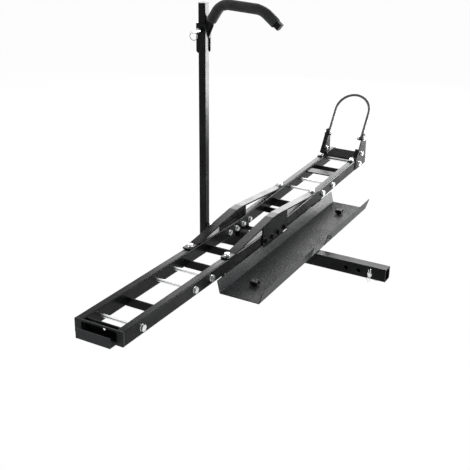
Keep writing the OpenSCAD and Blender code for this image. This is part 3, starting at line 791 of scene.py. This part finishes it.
@dataclass
class HookFloor:
    """The strip that closes the bottom between the slotted end plate and the plate behind it."""

    track: Track
    start: float = 951.2
    end: float = 970.3
    half_width: float = 62.0
    base: float = 0.4
    top: float = 3.4
    edge: float = 0.5

    def build(self, paint: Paint) -> None:
        """Makes the strip and dresses it.

        Args:
            paint: The finishes.
        """
        up = self.track.axis(Half.NEAR)
        turn = Matrix((ACROSS.cross(up), ACROSS, up)).transposed().to_4x4()
        middle = self.track.on(Half.NEAR, (self.start + self.end) / 2, 0, (self.base + self.top) / 2)
        sizes = Vector((self.end - self.start, 2 * self.half_width, self.top - self.base)) * MM
        place = Matrix.Translation(middle) @ turn @ Matrix.Diagonal((*sizes, 1))
        bm = bmesh.new()
        bmesh.ops.create_cube(bm, size=1.0, matrix=place)
        bmesh.ops.bevel(bm, geom=bm.edges[:], offset=self.edge * MM, segments=2, profile=0.5, affect="EDGES",
                        material=-1)
        piece = to_piece("hook_floor", bm, smooth=False)
        paint.dress(piece, Finish.COAT)
        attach(piece, Body.CARRIER.value)
        LOG.info("built %s", piece.name)


@dataclass
class Threads:
    """Thread crests on the tails of the bolts and rods, in millimetres."""

    track: Track
    rod_d: float = 12.0
    bolt_d: float = 10.0
    pitch: float = 1.75
    crest: float = 0.32
    root: float = 0.02
    foot_share: float = 1.01
    tip: float = 0.4
    tip_share: float = 0.9
    sides: int = 18
    near_rods: tuple[float, ...] = (477.0, 584.0, 884.0)
    far_rods: tuple[float, ...] = (464.0, 572.0)
    rod_tail: float = 3.8
    rod_face: float = 101.8
    end_rod: Pair = (880.0, 105.8)
    gusset_stations: tuple[float, ...] = (26.0, 80.0)
    gusset_end: Pair = (52.0, 22.5)
    gusset_tail: float = 2.0
    strap_stations: tuple[tuple[Half, float], ...] = ((Half.NEAR, 345.0), (Half.FAR, 390.0))
    strap_y: float = 76.0
    strap_foot: float = 10.2
    strap_tail: float = 7.8
    nut_drop: float = 5.0

    def tail(self, start: Vector, direction: Vector, length: float, diameter: float) -> bmesh.types.BMesh:
        """Makes a threaded sleeve on the tail of a bolt.

        Args:
            start: Where the tail leaves its nut, in metres.
            direction: The way it points.
            length: How far it stands out, in millimetres.
            diameter: The bolt's diameter, in millimetres.

        Returns:
            The sleeve's mesh.
        """
        core = diameter / 2 * MM
        step = self.pitch / 2
        turn = facing(direction, Vector()).to_3x3().to_4x4()
        sweep = RingSweep(Matrix.Translation(start) @ turn, core * self.foot_share, self.sides)
        for i in range(1, int(length / step)):
            high = (self.crest if i % 2 else self.root) * MM
            sweep.grow(Matrix.Translation(start + direction * (i * step * MM)) @ turn, core + high)
        end = start + direction * ((length + self.tip) * MM)
        sweep.grow(Matrix.Translation(end) @ turn, core * self.tip_share)
        sweep.cap()
        return sweep.bm

    def rod_tails(self) -> Iterable[bmesh.types.BMesh]:
        """Makes the threads at the left ends of the cross rods.

        Returns:
            The sleeves' meshes.
        """
        stations = [(Half.NEAR, u, self.rod_face) for u in self.near_rods]
        stations += [(Half.FAR, u, self.rod_face) for u in self.far_rods] + [(Half.FAR, *self.end_rod)]
        for half, along, y in stations:
            start = self.track.on(half, along, y, self.track.tube_h / 2)
            yield self.tail(start, ACROSS, self.rod_tail, self.rod_d)

    def gusset_tails(self) -> Iterable[bmesh.types.BMesh]:
        """Makes the threads of the gusset bolts, inside the rails.

        Returns:
            The sleeves' meshes.
        """
        y, height = self.gusset_end
        for half, along, side in product(Half, self.gusset_stations, SIDES):
            start = self.track.on(half, along, side * y, height)
            yield self.tail(start, ACROSS * -side, self.gusset_tail, self.bolt_d)

    def strap_tails(self) -> Iterable[bmesh.types.BMesh]:
        """Makes the threads of the strap bolts, under the rails and the ramp's arms.

        Returns:
            The sleeves' meshes.
        """
        for half, along in self.strap_stations:
            for y, drop in ((self.strap_y, 0.0), (-self.strap_y, self.nut_drop)):
                start = self.track.on(half, along, y, -drop - self.strap_foot)
                yield self.tail(start, -self.track.axis(half), self.strap_tail - drop, self.bolt_d)

    def build(self, paint: Paint) -> None:
        """Makes all the threads as one piece and dresses it.

        Args:
            paint: The finishes.
        """
        tails = merged(chain(self.rod_tails(), self.gusset_tails(), self.strap_tails()))
        piece = to_piece("bolt_threads", tails, smooth=False)
        paint.dress(piece, Finish.ZINC)
        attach(piece, Body.CARRIER.value)
        LOG.info("built %s", piece.name)


@dataclass
class StarKnob:
    """Four-lobed moulded knob with a rounded rim, a dished top and a collar, in millimetres."""

    node: str
    body: Body
    core: float = 11.8
    lobe: float = 7.2
    lobes: int = 4
    waist: float = 1.3
    height: float = 14.0
    rim: float = 2.4
    dish: float = 3.2
    dish_depth: float = 1.0
    sides: int = 72
    collar: float = 9.0
    collar_height: float = 4.0
    collar_rings: tuple[Pair, ...] = ((0.2, 0.0), (3.6, 0.0), (4.4, 0.8))
    collar_sides: int = 40

    def outline(self, bm: bmesh.types.BMesh, centre: Vector) -> bmesh.types.BMFace:
        """Makes the lobed face.

        Args:
            bm: The empty bmesh that it goes into.
            centre: Its middle, in metres.

        Returns:
            The face.
        """
        bmesh.ops.create_circle(bm, cap_ends=True, radius=self.core * MM, segments=self.sides,
                                matrix=Matrix.Translation(centre))
        for vert in bm.verts:
            arm = vert.co - centre
            swell = 0.5 - 0.5 * math.cos(self.lobes * math.atan2(arm.y, arm.x))
            arm.length = (self.core + self.lobe * swell ** self.waist) * MM
            vert.co = centre + arm
        return bm.faces[:][0]

    def star(self, foot: Vector) -> bmesh.types.BMesh:
        """Makes the lobed body.

        Args:
            foot: The middle of the knob's underside, in metres.

        Returns:
            The body's mesh.
        """
        bm = bmesh.new()
        face = self.outline(bm, foot + Vector((0, 0, self.collar_height * MM)))
        grown = bmesh.ops.extrude_face_region(bm, geom=[face])
        top = [g for g in grown["geom"] if isinstance(g, bmesh.types.BMVert)]
        bmesh.ops.translate(bm, vec=(0, 0, self.height * MM), verts=top)
        rims = [e for e in bm.edges if abs(e.verts[0].co.z - e.verts[1].co.z) < 1e-7]
        bmesh.ops.bevel(bm, geom=rims, offset=self.rim * MM, segments=4, profile=0.5, affect="EDGES",
                        material=-1)
        crown = max((f for f in bm.faces if f.normal.z > 0.9), key=lambda f: f.calc_area())
        bmesh.ops.inset_region(bm, faces=[crown], thickness=self.dish * MM, depth=-self.dish_depth * MM)
        return bm

    def build(self, paint: Paint) -> None:
        """Makes the knob in place of its CAD node.

        Args:
            paint: The finishes.
        """
        low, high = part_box(self.node)
        foot = Vector(((low.x + high.x) / 2, (low.y + high.y) / 2, low.z))
        collar = RingSweep(Matrix.Translation(foot), self.collar * MM, self.collar_sides)
        for rise, growth in self.collar_rings:
            collar.grow(Matrix.Translation(foot + Vector((0, 0, rise * MM))), (self.collar + growth) * MM)
        collar.cap()
        piece = to_piece(self.node + "_moulding", merged([self.star(foot), collar.bm]))
        paint.dress(piece, Finish.PLASTIC)
        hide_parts(self.node)
        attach(piece, self.body.value)
        LOG.info("built %s", piece.name)


@dataclass
class FoamGrip:
    """Foam sleeve on the arm: its line repeats the arm's two bends, in millimetres from the slider's face."""

    track: Track
    start: Pair = (0.0, 778.0)
    middle_x: float = 45.0
    headings: tuple[float, float, float] = (57.0, -3.0, -38.0)
    legs: tuple[float, float, float] = (66.0, 113.0, 68.0)
    bends: Pair = (60.0, 70.0)
    bare: Pair = (23.5, 20.0)
    outer: float = 20.3
    bore: float = 17.1
    face_y: float = 230.6
    fold: float = 2.6
    drawn: Pair = (2.4, 4.2)
    fold_shift: float = 6.0
    fold_spread: float = 10.0
    rim: float = 1.2
    sides: int = 48
    step: float = 3.0

    def leg(self, number: int, start: Pair) -> list[Place]:
        """Follows a straight leg of the arm, without its bare ends.

        Args:
            number: The leg's number, from 0 at the slider.
            start: Its start, as (reach, height).

        Returns:
            The places along it.
        """
        heading = self.headings[number]
        angle = math.radians(heading)
        first = self.bare[0] if number == 0 else 0.0
        last = self.legs[number] - (self.bare[1] if number == len(self.bends) else 0.0)
        count = max(1, round((last - first) / self.step))
        steps = (first + (last - first) * k / count for k in range(count + 1))
        return [(start[0] + along * math.cos(angle), start[1] + along * math.sin(angle), heading)
                for along in steps]

    def bend(self, number: int, start: Pair) -> list[Place]:
        """Follows a bend of the arm, up to the start of the next leg.

        Args:
            number: The number of the leg before it.
            start: Its start, as (reach, height).

        Returns:
            The places along it, the last of them its end.
        """
        heading = self.headings[number]
        sweep = heading - self.headings[number + 1]
        radius = self.bends[number]
        angle = math.radians(heading)
        centre = (start[0] + radius * math.sin(angle), start[1] - radius * math.cos(angle))
        count = round(math.radians(sweep) * radius / self.step)
        turns = (math.radians(heading - sweep * k / count) for k in range(1, count + 1))
        return [(centre[0] - radius * math.sin(turn), centre[1] + radius * math.cos(turn), math.degrees(turn))
                for turn in turns]

    def line(self) -> list[Place]:
        """Follows the sleeve's centre line.

        Returns:
            Its places, each as (reach, height, heading in degrees).
        """
        start = self.start
        places = []
        for number, heading in enumerate(self.headings):
            places += self.leg(number, start)
            angle = math.radians(heading)
            length = self.legs[number]
            start = (start[0] + length * math.cos(angle), start[1] + length * math.sin(angle))
            if number < len(self.bends):
                *between, (reach, height, _) = self.bend(number, start)
                places += between
                start = (reach, height)
        return places

    def placement(self, place: Place) -> Matrix:
        """Places a ring.

        Args:
            place: Its place on the line, as line gives it.

        Returns:
            Its placement, whose Z runs along the arm.
        """
        reach, height, heading = place
        angle = math.radians(heading)
        along = Vector((0, -math.cos(angle), math.sin(angle)))
        side = Vector((1, 0, 0))
        up = along.cross(side)
        turn = Matrix((side, up, along)).transposed().to_4x4()
        return Matrix.Translation(self.track.at(self.middle_x, self.face_y - reach, height)) @ turn

    def press(self, ring: list[bmesh.types.BMVert], place: Place) -> None:
        """Shapes a ring inside a bend: folded in on its underside, and drawn thin on its outer side.

        Args:
            ring: The ring's vertices.
            place: Its place on the line.
        """
        centre = self.placement(place)
        up = centre.to_3x3() @ Vector((0, 1, 0))
        heading = place[2]
        first, level, last = self.headings
        middle = (first + level) / 2 + self.fold_shift
        folded = self.fold * max(0.0, 1 - abs(heading - middle) / self.fold_spread)
        end, thin = (first, self.drawn[0]) if heading > level else (last, self.drawn[1])
        bend = (heading - level) / (end - level)
        drawn = thin * math.sin(math.pi * (0.25 + 0.5 * bend)) ** 2
        for vert in ring:
            arm = vert.co - centre.translation
            rise = arm.normalized().dot(up)
            depth = drawn * max(0.0, rise) ** 2 + folded * max(0.0, -rise) ** 2
            vert.co -= arm.normalized() * depth * MM

    def build(self, paint: Paint) -> None:
        """Makes the sleeve in place of its CAD node.

        Args:
            paint: The finishes.
        """
        line = self.line()
        sweep = RingSweep(self.placement(line[0]), self.bore * MM, self.sides, capped=False)
        sweep.grow(self.placement(line[0]), (self.outer - self.rim) * MM)
        rings = []
        for i, place in enumerate(line):
            rim = self.rim / 2 if i in (0, len(line) - 1) else 0
            rings.append(sweep.grow(self.placement(place), (self.outer - rim) * MM))
        for place in reversed(line):
            rings.append(sweep.grow(self.placement(place), self.bore * MM))
        sweep.join_ends()
        for ring, place in zip(rings, line + line[::-1]):
            self.press(ring, place)
        bmesh.ops.remove_doubles(sweep.bm, verts=sweep.bm.verts[:], dist=1e-6)
        piece = to_piece("foam_sleeve", sweep.bm)
        paint.dress(piece, Finish.FOAM)
        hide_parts("foam_grip")
        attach(piece, Body.SLIDER.value)
        LOG.info("built %s", piece.name)


@dataclass(frozen=True)
class PhotoCamera:
    """The camera fitted to the photograph, in the part's frame.

    Its place, lens and sensor are in millimetres, its angles in degrees and its reach in metres.
    """

    place: Place = (-2642.1, -912.3, 1348.2)
    yaw: float = -61.17
    pitch: float = 23.87
    roll: float = 0.69
    lens: float = 62.33
    sensor: float = 36.0
    reach: float = 50.0

    def build(self) -> None:
        """Makes the camera and sets it as the scene's."""
        yaw, pitch, roll = (math.radians(a) for a in (self.yaw, self.pitch, self.roll))
        right = Vector((math.cos(yaw), math.sin(yaw), 0))
        ahead = Vector((-math.sin(yaw) * math.cos(pitch), math.cos(yaw) * math.cos(pitch), -math.sin(pitch)))
        up = right.cross(ahead)
        side = right * math.cos(roll) + up * math.sin(roll)
        top = up * math.cos(roll) - right * math.sin(roll)
        data = bpy.data.cameras.new("photo_camera")
        data.lens = self.lens
        data.sensor_width = self.sensor
        data.clip_end = self.reach
        camera = bpy.data.objects.new("photo_camera", data)
        turn = Matrix((side, top, -ahead)).transposed().to_4x4()
        camera.matrix_world = Matrix.Translation(Vector(self.place) * MM) @ turn
        bpy.context.scene.collection.objects.link(camera)
        bpy.context.scene.camera = camera


@dataclass
class Studio:
    """A plain pale floor, a white surround and soft lamps, in metres and watts.

    Each lamp is its name, place, width and power.
    """

    floor_drop: float = 0.25
    floor_size: float = 30.0
    fill: float = 0.3
    floor_level: float = 0.92
    white_share: float = 0.97
    aim: Place = (-0.05, 0.3, 0.25)
    lamps: tuple[tuple[str, Place, float, float], ...] = (
        ("key_lamp", (-0.6, -3.4, 3.0), 2.0, 70.0),
        ("far_lamp", (3.6, 1.6, 1.5), 2.9, 138.0),
        ("side_lamp", (2.7, -1.05, 0.28), 1.8, 240.0),
        ("back_lamp", (-1.0, 4.4, 2.0), 2.6, 130.0),
    )

    @staticmethod
    def _end(graph: ShaderGraph, plain: Socket, white: Socket, share: float, out: str) -> None:
        """Ends a tree in two shaders.

        Args:
            graph: The tree.
            plain: The shader that lights the object.
            white: The shader that camera, glossy and transmission rays see.
            share: How much of white they see.
            out: The output node's type.
        """
        rays = [graph.node("ShaderNodeLightPath", output=f"Is {kind} Ray")
                for kind in ("Camera", "Glossy", "Transmission")]
        seen = rays[0].highest(rays[1]).highest(rays[2])
        mix = graph.node("ShaderNodeMixShader", None, {0: seen * share, 1: plain, 2: white})
        graph.node(out, None, {"Surface": mix})

    def world(self) -> None:
        """Makes the world white where it is seen, and a soft fill elsewhere."""
        world = bpy.data.worlds.new("white_surround")
        graph = ShaderGraph(world)
        plain, white = (graph.node("ShaderNodeBackground", None, {"Color": grey(1.0), "Strength": level})
                        for level in (self.fill, 1.0))
        self._end(graph, plain, white, 1.0, "ShaderNodeOutputWorld")
        bpy.context.scene.world = world

    def floor(self) -> None:
        """Makes the floor, which keeps a faint shadow."""
        low = CAD_BOX[0][2] - self.floor_drop
        bm = bmesh.new()
        bmesh.ops.create_grid(bm, x_segments=1, y_segments=1, size=self.floor_size,
                              matrix=Matrix.Translation((0, 0, low)))
        floor = to_piece("floor", bm, smooth=False)
        graph = ShaderGraph(bpy.data.materials.new("pale_floor"))
        matte = graph.node("ShaderNodeBsdfDiffuse", None, {"Color": grey(self.floor_level)})
        white = graph.node("ShaderNodeEmission", None, {"Strength": 1.0})
        self._end(graph, matte, white, self.white_share, "ShaderNodeOutputMaterial")
        floor.data.materials.append(graph.owner)

    def light(self) -> None:
        """Makes the soft lamps, all aimed at the middle of the carrier."""
        aim = Vector(self.aim)
        for name, place, size, power in self.lamps:
            data = bpy.data.lights.new(name, "AREA")
            data.shape = "DISK"
            data.size = size
            data.energy = power
            lamp = bpy.data.objects.new(name, data)
            spot = Vector(place)
            lamp.matrix_world = facing(spot - aim, spot)
            bpy.context.scene.collection.objects.link(lamp)

    def build(self) -> None:
        """Sets the stage and the view transform."""
        bpy.context.scene.view_settings.view_transform = "Standard"
        self.world()
        self.floor()
        self.light()


def main() -> None:
    """Builds the scene in order."""
    logging.basicConfig(level=logging.INFO, format="%(name)s: %(message)s")
    PhotoCamera().build()
    Studio().build()
    paint = Paint()
    paint.dress_cad()
    track = Track()
    WeldBeads(track).build(paint)
    HookFloor(track).build(paint)
    Threads(track).build(paint)
    StarKnob("near_knob", Body.NEAR_KNOB).build(paint)
    StarKnob("far_knob", Body.FAR_KNOB).build(paint)
    FoamGrip(track).build(paint)


if __name__ == "__main__":
    main()
